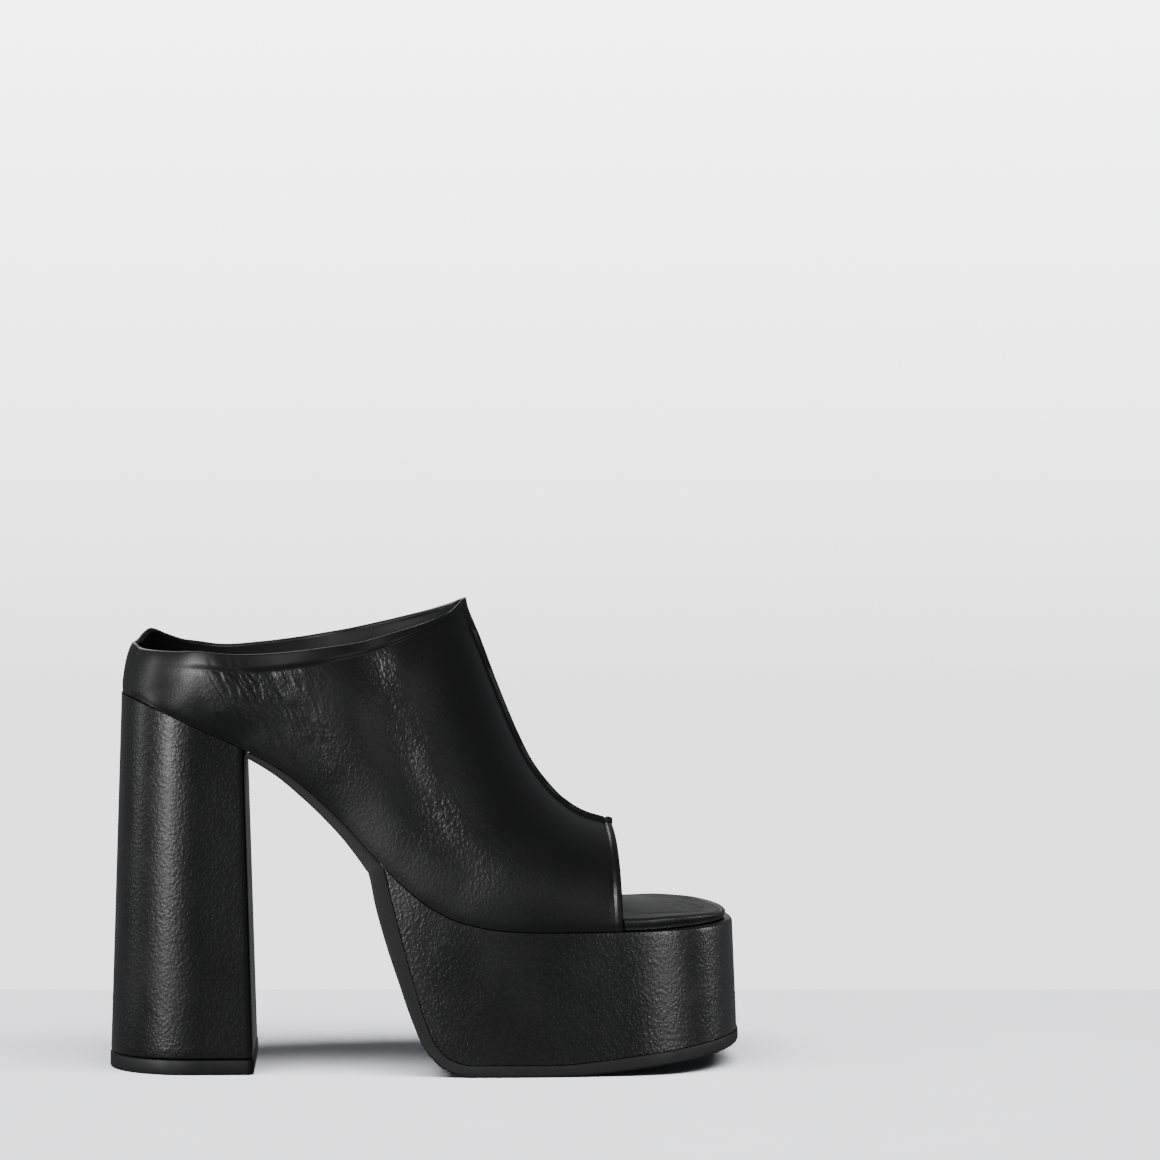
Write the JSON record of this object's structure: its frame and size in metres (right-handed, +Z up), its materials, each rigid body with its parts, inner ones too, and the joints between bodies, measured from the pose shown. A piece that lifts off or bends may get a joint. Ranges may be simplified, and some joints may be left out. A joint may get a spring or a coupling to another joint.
{
  "type": "platform mule",
  "caption": "Black leather platform mule for the right foot, with an open toe, a low open back, a high block heel, a padded insole and a rubber outsole",
  "frame": {"origin": "centre of the shoe's bounding box in plan, on the floor plane that heel and forefoot stand on", "axes": "+X from the heel to the toe, +Z up, the foot's outer side towards -Y"},
  "size_m": [0.2322, 0.0906, 0.1717],
  "materials": {
    "upper_leather": "black pebbled leather, semi-gloss, with a smooth lining",
    "insole_leather": "black soft leather over thin foam, satin",
    "cover_leather": "black pebbled leather wrapped tight, semi-gloss",
    "outsole_rubber": "black moulded rubber, matt",
    "lift_rubber": "black hard rubber, satin"
  },
  "bodies": {
    "root": {"upper": "upper_leather", "insole": "insole_leather", "platform": "cover_leather", "heel_block": "cover_leather", "outsole": "outsole_rubber", "heel_top_lift": "lift_rubber"}
  },
  "joints": []
}
